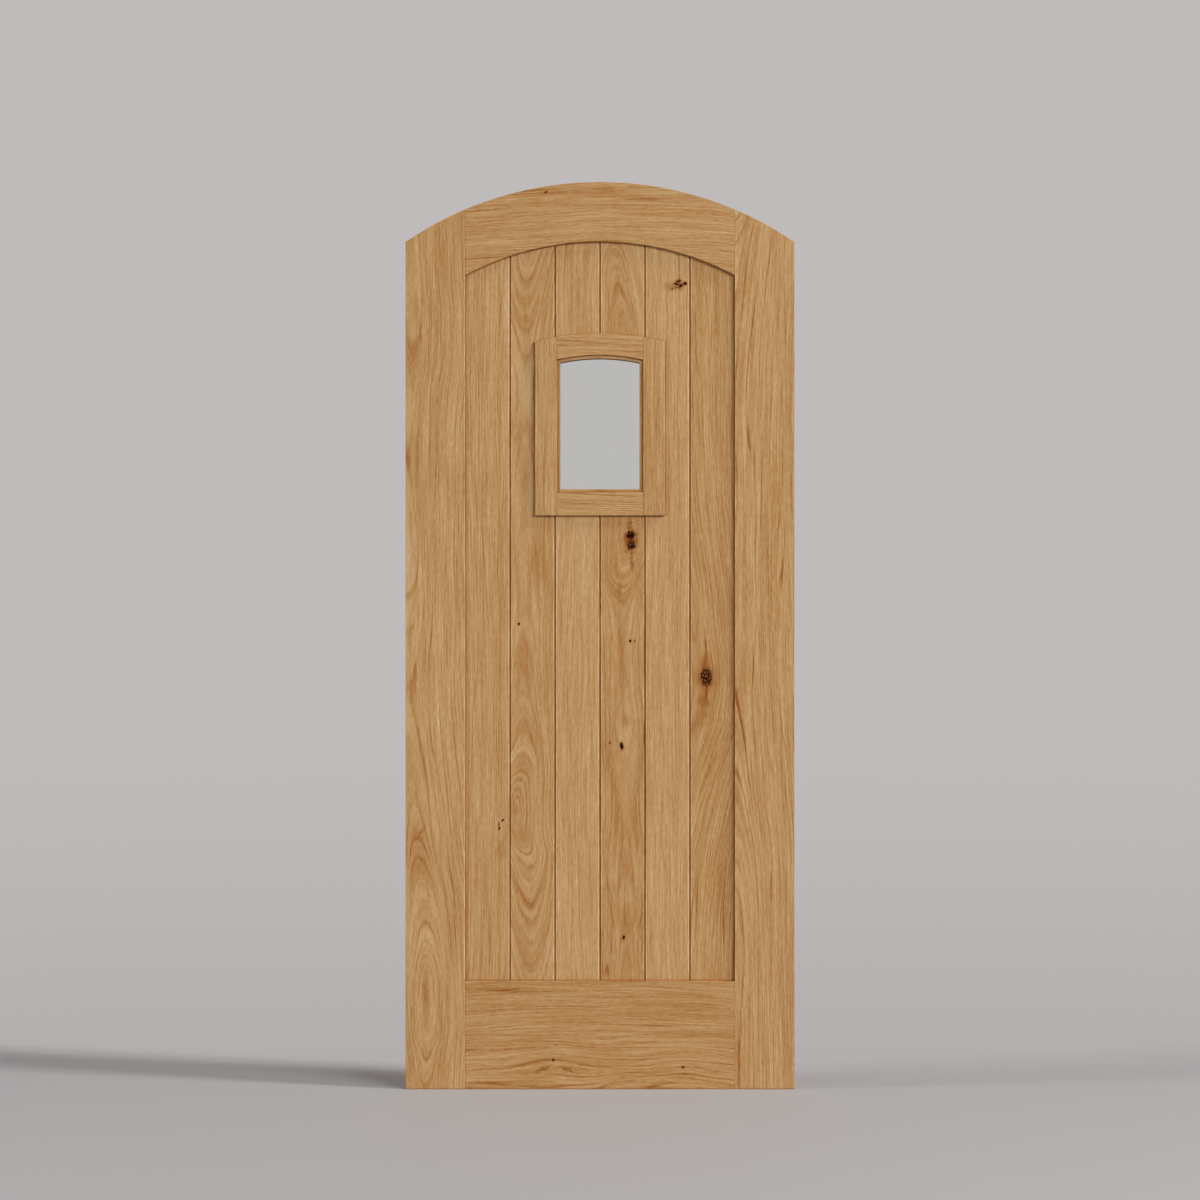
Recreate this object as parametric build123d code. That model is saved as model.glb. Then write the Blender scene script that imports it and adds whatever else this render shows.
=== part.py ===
from build123d import *
from math import sqrt
import os

# Arched door leaf of solid oak, in millimetres.
# The origin is the middle of the foot, Z is up, and the front face looks towards -Y.

# Leaf
door_width = 914.4
door_height = 2133.6
door_thickness = 44.45
head_radius = 812.8
stile_width = 139.7
top_rail_depth = 139.7
bottom_rail_depth = 254.0
arris = 0.8

# Groove round the inside of the frame, which takes the panel and the stub tenons of the rails
frame_groove_width = 12.7
frame_groove_depth = 12.7
expansion_gap = 1.6
stub_end_gap = 0.8

# Planks
plank_count = 6
plank_thickness = 25.4
plank_gap = 0.8
v_bevel = 2.4
plank_tongue_thickness = 8.0
plank_tongue_length = 9.5
plank_tongue_end_gap = 0.8
plank_tongue_fit = 0.1

# Window frame, flush with both faces of the leaf, and hung from the crown of the head
window_width = 304.8
window_drop = 355.6
window_frame_height = 428.6
window_head_radius = 609.6
window_stile_width = 50.8
window_top_rail_depth = 50.8
window_bottom_rail_depth = 54.0
window_opening_radius = 457.2

# Glazing
stop_sight = 8.0
stop_recess = 6.35
unit_thickness = 19.05
pane_thickness = 4.0
unit_edge_gap = 1.5
seal_depth = 1.5
spacer_width = 4.5
setting_block_length = 50.0

# Slip tenons of the rails, as thick as the frame groove is wide
tenon_length = 101.6
top_tenon_width = 60.0
bottom_tenon_width = 75.0
top_tenons_per_joint = 1
bottom_tenons_per_joint = 2
mortise_end_gap = 1.5

# Dowels of the window frame, and pins of its rear stops
dowel_diameter = 8.0
dowel_length = 50.0
dowel_fit = 0.1
dowel_end_gap = 1.5
dowels_per_joint = 2
pin_diameter = 1.6
pin_length = 22.0
pin_fit = 0.05
pins_per_side_stop = 3
pins_per_cross_stop = 2

# Sizes that follow from those above
half_door = door_width / 2
half_panel = half_door - stile_width
panel_crown = door_height - top_rail_depth
panel_radius = head_radius - top_rail_depth
panel_tongue_reach = frame_groove_depth - expansion_gap
stub_reach = frame_groove_depth - stub_end_gap
plank_pitch = 2 * half_panel / plank_count
window_crown_height = door_height - window_drop
window_foot = window_crown_height - window_frame_height
half_opening = window_width / 2 - window_stile_width
opening_foot = window_foot + window_bottom_rail_depth
opening_crown = window_crown_height - window_top_rail_depth
cavity_thickness = unit_thickness - 2 * pane_thickness
stop_thickness = door_thickness / 2 - stop_recess - unit_thickness / 2


def arc_height(x, crown, radius):
    """Height of an arch with its crown on the centre line, at the distance x from that line."""
    return crown - radius + sqrt(radius**2 - x**2)


def spread(low, high, count):
    """Centres of `count` equal spaces between two values."""
    step = (high - low) / count
    return [low + step * (place + 0.5) for place in range(count)]


# Outlines, drawn upright in the mid-plane of the leaf


def arched_face(width, foot, crown, radius, grow=0.0):
    """Straight foot and sides under an arched head. `grow` moves every side out by the same distance."""
    half = width / 2 + grow
    low = foot - grow
    high = crown + grow
    bend = radius + grow
    shoulder = arc_height(half, high, bend)
    sides = Polyline((-half, shoulder), (-half, low), (half, low), (half, shoulder))
    head = ThreePointArc((half, shoulder), (0, high), (-half, shoulder))
    return Plane.XZ * make_face([sides, head])


def door_outline():
    return arched_face(door_width, 0, door_height, head_radius)


def panel_outline(grow=0.0):
    return arched_face(2 * half_panel, bottom_rail_depth, panel_crown, panel_radius, grow)


def window_outline(grow=0.0):
    return arched_face(window_width, window_foot, window_crown_height, window_head_radius, grow)


def opening_outline(grow=0.0):
    return arched_face(2 * half_opening, opening_foot, opening_crown, window_opening_radius, grow)


def slab(face, thickness, middle=0.0):
    """Board of the given thickness cut to an outline, with its middle at y = middle."""
    return Pos(0, middle, 0) * extrude(face, amount=thickness / 2, both=True)


def region(x_from, x_to, z_from=0.0, z_to=door_height):
    """Block that takes in the whole thickness of the leaf between two widths and two heights."""
    block = Box(x_to - x_from, door_thickness, z_to - z_from)
    return Pos((x_from + x_to) / 2, 0, (z_from + z_to) / 2) * block


def eased(board):
    """Takes the sharp arris off every edge that lies in the front or the back face of a board."""
    face_plane = board.bounding_box().max.Y
    edges = board.edges().filter_by(lambda edge: abs(abs(edge.center().Y) - face_plane) < arris / 10)
    return chamfer(edges, arris)


# Slip tenons and dowels


def at_joints(joint_x, heights, piece):
    """The same piece on the joint lines at both sides of the centre line, at each of the heights."""
    return [Pos(x, 0, z) * piece for x in (-joint_x, joint_x) for z in heights]


def top_tenon_heights():
    """Where the top rail is sound on both sides of the joint: over its groove and under the head arch."""
    low_x = half_panel - tenon_length / 2
    high_x = half_panel + tenon_length / 2
    low = arc_height(low_x, panel_crown + frame_groove_depth, panel_radius + frame_groove_depth)
    high = arc_height(high_x, door_height, head_radius)
    return spread(low, high, top_tenons_per_joint)


def bottom_tenon_heights():
    return spread(0, bottom_rail_depth - frame_groove_depth, bottom_tenons_per_joint)


def slip_tenons(heights, width):
    tenon = Box(tenon_length, frame_groove_width, width)
    return at_joints(half_panel, heights, tenon)


def mortises():
    """All mortises for the slip tenons, half of each in a stile and half in a rail."""
    length = tenon_length + 2 * mortise_end_gap
    top = Box(length, frame_groove_width, top_tenon_width)
    bottom = Box(length, frame_groove_width, bottom_tenon_width)
    top_places = at_joints(half_panel, top_tenon_heights(), top)
    return top_places + at_joints(half_panel, bottom_tenon_heights(), bottom)


def window_dowel_heights():
    """Two rows: over the opening, between its arch and the outside groove, and under the opening."""
    low_x = half_opening - dowel_length / 2
    high_x = half_opening + dowel_length / 2
    groove_crown = window_crown_height - frame_groove_depth
    groove_radius = window_head_radius - frame_groove_depth
    low = arc_height(low_x, opening_crown, window_opening_radius)
    high = arc_height(high_x, groove_crown, groove_radius)
    under = spread(window_foot + frame_groove_depth, opening_foot, dowels_per_joint)
    return spread(low, high, dowels_per_joint) + under


def window_dowels():
    """Round pegs along X."""
    peg = Rot(0, 90, 0) * Cylinder(dowel_diameter / 2, dowel_length)
    return at_joints(half_opening, window_dowel_heights(), peg)


def window_dowel_holes():
    """Holes for the pegs, with room for glue round them and at their ends."""
    hole = Rot(0, 90, 0) * Cylinder(dowel_diameter / 2 + dowel_fit, dowel_length + 2 * dowel_end_gap)
    return at_joints(half_opening, window_dowel_heights(), hole)


# Stiles and rails


def leaf_frame():
    """The four frame members as one blank."""
    return slab(door_outline() - panel_outline(), door_thickness)


def stile(blank, side):
    """Full-height member with a groove run from end to end. `side` is -1 for left and 1 for right."""
    inner = side * half_panel
    outer = side * half_door
    groove_bottom = side * (half_panel + frame_groove_depth)
    member = eased(blank & region(min(inner, outer), max(inner, outer)))
    groove = region(min(inner, groove_bottom), max(inner, groove_bottom))
    groove = groove & Pos(0, 0, door_height / 2) * Box(door_width, frame_groove_width, door_height)
    return member - groove - mortises()


def rail(blank, z_from, z_to):
    """Member between the stiles, grooved for the planks, with stub tenons that fill the stile grooves."""
    stub_half = half_panel + stub_reach
    grooved_core = slab(door_outline() - panel_outline(frame_groove_depth), frame_groove_width)
    cheeks = eased(blank & region(-half_panel, half_panel, z_from, z_to))
    cheeks = cheeks - slab(panel_outline(frame_groove_depth), frame_groove_width)
    core = grooved_core & region(-stub_half, stub_half, z_from, z_to)
    return cheeks + core - mortises()


# Panel


def panel_blank():
    """The planks as one board, with a tongue round the outside and round the hole for the window."""
    board = slab(panel_outline() - window_outline(), plank_thickness)
    tongue = slab(panel_outline(panel_tongue_reach) - window_outline(-panel_tongue_reach), frame_groove_width)
    return board + tongue


def plank_section(x_left, x_right, has_groove, has_tongue):
    """Plan section of a plank: grooved on its left, tongued on its right, bevelled at both joints."""
    face = plank_thickness / 2
    shoulder = face - v_bevel
    groove = plank_tongue_thickness / 2 + plank_tongue_fit
    tongue = plank_tongue_thickness / 2
    groove_bottom = x_left + plank_tongue_length + plank_tongue_end_gap
    tongue_end = x_right + plank_tongue_length
    left = [(x_left, face), (x_left, -face)]
    right = [(x_right, -face), (x_right, face)]
    if has_groove:
        left = [
            (x_left + v_bevel, face),
            (x_left, shoulder),
            (x_left, groove),
            (groove_bottom, groove),
            (groove_bottom, -groove),
            (x_left, -groove),
            (x_left, -shoulder),
            (x_left + v_bevel, -face),
        ]
    if has_tongue:
        right = [
            (x_right - v_bevel, -face),
            (x_right, -shoulder),
            (x_right, -tongue),
            (tongue_end, -tongue),
            (tongue_end, tongue),
            (x_right, tongue),
            (x_right, shoulder),
            (x_right - v_bevel, face),
        ]
    return make_face(Polyline(*left, *right, close=True))


def plank_pieces(blank, place):
    """The lengths of one plank, lowest first: two where the window cuts it through, otherwise one."""
    first = place == 0
    last = place == plank_count - 1
    x_left = -half_panel + place * plank_pitch + plank_gap / 2
    x_right = -half_panel + (place + 1) * plank_pitch - plank_gap / 2
    if first:
        x_left = -half_panel - frame_groove_depth
    if last:
        x_right = half_panel + frame_groove_depth
    column = extrude(plank_section(x_left, x_right, not first, not last), amount=door_height)
    return (blank & column).solids().sort_by(Axis.Z)


def planks():
    """All plank lengths by name."""
    blank = panel_blank()
    named = {}
    for place in range(plank_count):
        pieces = plank_pieces(blank, place)
        name = f"plank_{place + 1}"
        if len(pieces) == 2:
            named[f"{name}_lower"] = pieces[0]
            named[f"{name}_upper"] = pieces[1]
        else:
            named[name] = pieces[0]
    return named


# Window frame


def window_members():
    """Two stiles that run through, and two rails between them, grooved outside for the planks."""
    ring = slab(window_outline() - opening_outline(), door_thickness)
    groove = slab(window_outline() - window_outline(-frame_groove_depth), frame_groove_width)
    middle = (opening_foot + opening_crown) / 2
    members = {
        "window_left_stile": ring & region(-window_width / 2, -half_opening),
        "window_right_stile": ring & region(half_opening, window_width / 2),
        "window_top_rail": ring & region(-half_opening, half_opening, middle, door_height),
        "window_bottom_rail": ring & region(-half_opening, half_opening, 0, middle),
    }
    holes = window_dowel_holes() + stop_pin_holes()
    return {name: eased(member) - groove - holes for name, member in members.items()}


# Glazing


def stop_ring(side):
    """The four stops on one face of the glass as one blank, with the sight edge eased on its open side."""
    middle = side * (unit_thickness + stop_thickness) / 2
    ring = slab(opening_outline() - opening_outline(-stop_sight), stop_thickness, middle)
    open_face = ring.faces().filter_by(Axis.Y).sort_by(Axis.Y)[-1 if side > 0 else 0]
    return chamfer(open_face.inner_wires()[0].edges(), arris)


def stop_set(side):
    """Four stops on one face of the glass. `side` is -1 for the front and 1 for the rear."""
    ring = stop_ring(side)
    under_head = arched_face(
        2 * half_opening, opening_foot, opening_crown - stop_sight, window_opening_radius - stop_sight
    )
    head_cut = slab(under_head, door_thickness)
    rest = ring & head_cut
    sight_half = half_opening - stop_sight
    foot = opening_foot
    stops = {
        "arch": ring - head_cut,
        "left": rest & region(-half_opening, -sight_half),
        "right": rest & region(sight_half, half_opening),
        "bottom": rest & region(-sight_half, sight_half, foot, foot + stop_sight),
    }
    if side > 0:
        stops = {name: stop - stop_pin_holes() for name, stop in stops.items()}
    return stops


def pane(side):
    middle = side * (unit_thickness - pane_thickness) / 2
    return slab(opening_outline(-unit_edge_gap), pane_thickness, middle)


def glazing_seal():
    outside = opening_outline(-unit_edge_gap)
    inside = opening_outline(-unit_edge_gap - seal_depth)
    return slab(outside - inside, cavity_thickness)


def glazing_spacer():
    outside = opening_outline(-unit_edge_gap - seal_depth)
    inside = opening_outline(-unit_edge_gap - seal_depth - spacer_width)
    return slab(outside - inside, cavity_thickness)


def setting_blocks():
    """Two pads under the quarter points of the sealed unit."""
    block = Box(setting_block_length, unit_thickness, unit_edge_gap)
    height = opening_foot + unit_edge_gap / 2
    return [Pos(x, 0, height) * block for x in (-half_opening / 2, half_opening / 2)]


# Pins of the rear stops, driven from the sight edge square into the window frame


def stop_pin_places():
    """A place for each pin: its outer end lies in the sight edge, and its own X runs into the frame."""
    depth = (unit_thickness + stop_thickness) / 2
    sight_half = half_opening - stop_sight
    sight_crown = opening_crown - stop_sight
    sight_radius = window_opening_radius - stop_sight
    sight_foot = opening_foot + stop_sight
    places = []
    for z in spread(sight_foot, arc_height(sight_half, sight_crown, sight_radius), pins_per_side_stop):
        places.append(Pos(sight_half, depth, z))
        places.append(Pos(-sight_half, depth, z) * Rot(0, 180, 0))
    for x in spread(-sight_half, sight_half, pins_per_cross_stop):
        head_z = arc_height(x, sight_crown, sight_radius)
        lean = Vector(x, 0, head_z - sight_crown + sight_radius)
        places.append(Plane(origin=(x, depth, head_z), x_dir=lean, z_dir=(0, 1, 0)).location)
        places.append(Pos(x, depth, sight_foot) * Rot(0, 90, 0))
    return places


def pin_body(diameter):
    """Round pin along X from its head at the origin."""
    return Pos(pin_length / 2, 0, 0) * Rot(0, 90, 0) * Cylinder(diameter / 2, pin_length)


def stop_pins():
    return [place * pin_body(pin_diameter) for place in stop_pin_places()]


def stop_pin_holes():
    return [place * pin_body(pin_diameter + 2 * pin_fit) for place in stop_pin_places()]


def build_nodes():
    """Every piece of the door by its node name."""
    frame = leaf_frame()
    middle = door_height / 2
    nodes = {
        "left_stile": stile(frame, -1),
        "right_stile": stile(frame, 1),
        "top_rail": rail(frame, middle, door_height),
        "bottom_rail": rail(frame, 0, middle),
    }
    nodes.update(planks())
    nodes.update(window_members())
    for face, side in (("front", -1), ("rear", 1)):
        for name, stop in stop_set(side).items():
            nodes[f"{face}_stop_{name}"] = stop
    nodes["outer_pane"] = pane(-1)
    nodes["inner_pane"] = pane(1)
    nodes["glazing_seal"] = glazing_seal()
    nodes["glazing_spacer"] = glazing_spacer()
    groups = {
        "setting_blocks": setting_blocks(),
        "top_rail_tenons": slip_tenons(top_tenon_heights(), top_tenon_width),
        "bottom_rail_tenons": slip_tenons(bottom_tenon_heights(), bottom_tenon_width),
        "window_dowels": window_dowels(),
        "stop_pins": stop_pins(),
    }
    for name, pieces in groups.items():
        nodes[name] = Compound(children=pieces)
    return nodes


os.makedirs("parts", exist_ok=True)
for node_name, node_shape in build_nodes().items():
    export_step(node_shape, f"parts/{node_name}.step")
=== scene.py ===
"""Arched door leaf of knotty white oak: a panel of V-jointed planks round a small arched window."""

import logging
import math
from dataclasses import dataclass, replace
from enum import Enum
from typing import ClassVar

import bpy
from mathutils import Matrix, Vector


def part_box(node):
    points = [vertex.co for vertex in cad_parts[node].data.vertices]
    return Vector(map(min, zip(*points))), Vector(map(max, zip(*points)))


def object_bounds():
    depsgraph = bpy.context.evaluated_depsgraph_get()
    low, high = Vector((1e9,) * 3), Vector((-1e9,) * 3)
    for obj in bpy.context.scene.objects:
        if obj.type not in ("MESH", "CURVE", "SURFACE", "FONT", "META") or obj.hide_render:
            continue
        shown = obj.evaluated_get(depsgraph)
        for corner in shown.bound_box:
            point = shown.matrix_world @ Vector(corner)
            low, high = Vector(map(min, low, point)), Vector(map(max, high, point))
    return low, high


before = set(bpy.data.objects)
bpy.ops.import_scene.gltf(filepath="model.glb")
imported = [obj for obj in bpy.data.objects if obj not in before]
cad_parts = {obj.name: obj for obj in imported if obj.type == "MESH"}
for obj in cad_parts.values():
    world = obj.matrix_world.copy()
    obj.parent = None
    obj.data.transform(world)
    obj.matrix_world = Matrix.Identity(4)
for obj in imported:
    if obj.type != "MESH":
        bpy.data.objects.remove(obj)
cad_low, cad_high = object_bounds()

log = logging.getLogger("arched_door")

MM = 0.001
ALL_THROUGH = 1e6

# The middle of Blender's noise, and how far from it most of the noise lies.
NOISE_MIDDLE = 0.5
NOISE_SWING = 0.25

# What each noise adds to its board's seed, so that no two of them repeat each other.
RING_SEED = 9.1
GAP_SEED = 12.9
LAYER_SEED = 3.1
LAYER_STEP = 13.7
KNOT_STEP = 7.7

Socket = bpy.types.NodeSocket
Outputs = bpy.types.NodeOutputs
Point = tuple[float, float]
Size = tuple[float, float, float]


def linear(hex_colour: str) -> tuple[float, float, float, float]:
    """Turns an sRGB hex colour into Blender's linear one.

    Args:
        hex_colour: Six hex digits, with or without a leading hash.

    Returns:
        Red, green, blue and an alpha of 1.
    """
    digits = hex_colour.lstrip("#")
    channels = []
    for start in (0, 2, 4):
        value = int(digits[start:start + 2], 16) / 255
        channels.append(value / 12.92 if value <= 0.04045 else ((value + 0.055) / 1.055) ** 2.4)
    return (channels[0], channels[1], channels[2], 1.0)


class Nodes:
    """The nodes of one material, or of the world.

    A MapRange takes a value, the span it comes from and the span it goes to, each 0 to 1 by default.
    """

    def __init__(self, owner: bpy.types.Material | bpy.types.World) -> None:
        """Gives the owner an empty node tree."""
        owner.use_nodes = True
        self.owner = owner
        self.tree = owner.node_tree
        self.tree.nodes.clear()

    def add(self, kind: str, inputs: dict | tuple = (), **settings: object) -> Outputs:
        """Adds a node with its settings and links.

        Args:
            kind: Blender's name for the node type, without the ShaderNode that each of them begins with.
            inputs: Values in order or by input name. A value that is a socket is linked.
            **settings: Properties of the node itself, set before its inputs.

        Returns:
            The node's outputs, by name or number.
        """
        node = self.tree.nodes.new(f"ShaderNode{kind}")
        for name, value in settings.items():
            setattr(node, name, value)
        for key, value in inputs.items() if isinstance(inputs, dict) else enumerate(inputs):
            if isinstance(value, Socket):
                self.tree.links.new(value, node.inputs[key])
            else:
                node.inputs[key].default_value = value
        return node.outputs

    def close(self, inputs: dict) -> bpy.types.Material:
        """Ends the material with a shader that takes these inputs, and gives it."""
        self.add("OutputMaterial", {"Surface": self.add("BsdfPrincipled", inputs)[0]})
        return self.owner


class Grain(Enum):
    """Which way the fibres of a board run, as the order of X, Y and Z in along, across and through."""

    UPRIGHT = ("Z", "X", "Y")
    ACROSS = ("X", "Z", "Y")


@dataclass(frozen=True)
class Spot:
    """A place on a board's face: middle and size along and across the grain, in mm, and turn in degrees."""

    along: float
    across: float
    length: float
    width: float
    turn: float = 0.0


@dataclass(frozen=True)
class Knot(Spot):
    """A branch grown into the board.

    `black` is how dark its core is, `halo` how brown the wood round it is, and `spread` how far that goes
    along and across, in sizes of the core. `rings` counts the branch's own year lines in the halo. `bow` and
    `reach` say how strongly and how far the grain gives way. A crazed core is brown wood with black cracks.
    """

    black: float = 1.0
    halo: float = 0.5
    spread: Point = (2.4, 1.7)
    rings: float = 0.0
    bow: float = 0.0
    reach: float = 3.0
    ragged: float = 0.25
    crazed: bool = False


@dataclass(frozen=True)
class Stain(Spot):
    """A darker place in the wood, soft at its edge and drawn out along its lines."""

    depth: float = 0.3

    def swirl(self) -> tuple[Size, Size]:
        """Gives the grain size and the push of the noise that draws it out, both less in a small stain."""
        size = (min(0.5 * self.length, 16.0), 5.0, 8.0)
        push = (min(0.7 * self.length, 40.0), 0.4 * self.width + 1.0, 0.0)
        return size, push


@dataclass(frozen=True)
class Sweep(Spot):
    """A place where the grain swings aside, by `shift` millimetres across the board at most."""

    shift: float = 8.0


@dataclass(frozen=True)
class Board:
    """How one board lay in its log.

    `heart` says, for places along the board, how far the log's heart lies behind the face, and `beside` how
    far across. Where the heart comes nearer the face, the lines of the face draw arches, loops and points.
    `tone` makes the whole board lighter, and `figure` and `waves` its year lines stronger and more crooked.
    Its sub-assembly fills in `node`, its CAD node.
    """

    heart: tuple[Point, ...]
    beside: tuple[Point, ...]
    grain: Grain = Grain.UPRIGHT
    tone: float = 0.0
    figure: float = 1.0
    waves: float = 1.0
    seed: float = 0.0
    knots: tuple[Knot, ...] = ()
    stains: tuple[Stain, ...] = ()
    sweeps: tuple[Sweep, ...] = ()
    node: str = ""


@dataclass(frozen=True)
class Layer:
    """One size of streak in the wood: its length and width in mm, and how much it lightens and darkens.

    Streaks that are `ringed` follow the year rings, `deep` mm into the board. Others are as deep as wide.
    """

    length: float
    width: float
    share: float
    detail: float = 1.0
    sharp: float = 1.0
    ringed: bool = True
    deep: float = 40.0

    def size(self) -> Size:
        """Gives the size of its noise."""
        return (self.length, self.width, self.deep if self.ringed else self.width)


@dataclass(frozen=True)
class YearRings:
    """The brown lines of a log's years, sharp where spring starts and fading into the summer's wood.

    Sizes are in mm, and `rise` and `fall` in shares of a year. The count of years drifts by `uneven` years.
    Some years draw weaker lines, down to `weakest`. Where a noise falls through the span `gap`, lines break
    off to `left` of their strength.
    """

    width: float = 6.6
    depth: float = 0.37
    uneven: float = 8.0
    uneven_size: Size = (700.0, 39.6, ALL_THROUGH)
    rise: float = 0.12
    fall: Point = (0.1, 0.42)
    weakest: float = 0.2
    gap: Point = (0.36, 0.6)
    gap_size: Size = (170.0, 7.0, ALL_THROUGH)
    left: float = 0.1


@dataclass(frozen=True)
class Crazing:
    """The black cracks of a dried knot: `cells` of brown wood lie between them, along and across it.

    `edge` is the span from a cell's rim in which black gives way to brown, and `left` what black is left.
    """

    cells: Point = (5.5, 4.6)
    thick: float = 20.0
    rough_size: Size = (7.0, 5.0, 8.0)
    rough_push: Size = (14.0, 10.0, 0.0)
    edge: Point = (0.14, 0.34)
    left: float = 0.1


@dataclass(frozen=True)
class Bend:
    """A wave in the course of the grain: its height, length and width in mm, and its noise's seed."""

    height: float
    length: float
    width: float
    seed: float


@dataclass(frozen=True)
class SandedOak:
    """Knotty white oak, planed, sanded and finished with a matte oil.

    That gives the eye a warm straw ground with close honey-brown lines, a soft sheen with no mirror, and
    near-black knots in brown halos. Lengths are in millimetres. Oak's pores are 0.3 mm wide and its years 2
    to 4 mm apart, too fine to show from across a room, so pores and fibres are drawn five to ten times as
    coarse, and only every second or third year is drawn. The fades of knots and stains are measured from
    their middle, in half sizes of them.
    """

    brown: str = "6A3611"
    deep: str = "8F5729"
    line: str = "A97743"
    ground: str = "BC9361"
    light: str = "CAA679"
    sanded: str = "DEBF91"
    stops: tuple[float, ...] = (0.0, 0.2, 0.42, 0.68, 0.9, 1.0)
    black: str = "260C04"
    # Painted bounce light: the red-brown that closed-in corners and joints are tinted towards.
    corner: str = "8A3C0C"

    base: float = 0.66
    rings: YearRings = YearRings()
    bands: Layer = Layer(520.0, 12.0, 0.055)
    fibres: Layer = Layer(150.0, 3.4, 0.15, detail=2.5, sharp=1.3)
    pores: Layer = Layer(18.0, 2.4, 0.1, detail=1.5, sharp=1.4, ringed=False)
    patches: Layer = Layer(420.0, 46.0, 0.06, ringed=False)
    noise_roughness: float = 0.55

    # The grain's long bends, and its short ripples.
    bends: tuple[Bend, ...] = (Bend(5.0, 260.0, 80.0, 11.3), Bend(1.3, 60.0, 26.0, 5.7))
    bend_depth: float = 0.45
    bow_slender: float = 1.6

    crazing: Crazing = Crazing()
    torn_grain: float = 0.35
    torn_thick: float = 30.0
    halo_fade: Point = (0.4, 1.15)
    core_fade: Point = (0.72, 1.08)
    knot_ring_fade: Point = (0.9, 2.6)
    knot_ring_depth: float = 0.13
    stain_fade: Point = (0.15, 1.25)
    stain_streak: Size = (46.0, 2.6, 8.0)
    stain_contrast: float = 3.0

    # Beside edges a paler band: painted highlight and sanded wear. In the V of a joint: painted shade.
    worn_width: float = 1.5
    worn_depth: float = 0.24
    joint_share: float = 0.8
    joint_depth: float = 0.12
    # Painted shade and painted bounce light in closed-in places: reach, samples, darkening, and tint.
    corner_reach: float = 5.0
    corner_samples: int = 8
    corner_depth: float = 0.12
    corner_full: float = 0.6
    corner_tint: float = 0.6

    end_grain: float = 0.16
    end_facing: Point = (0.5, 0.95)
    roughness: Point = (0.64, 0.52)
    knot_roughness: float = 0.35
    ior: float = 1.47
    specular: float = 0.1
    bump_strength: float = 0.4
    bump_height: float = 0.12


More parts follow.
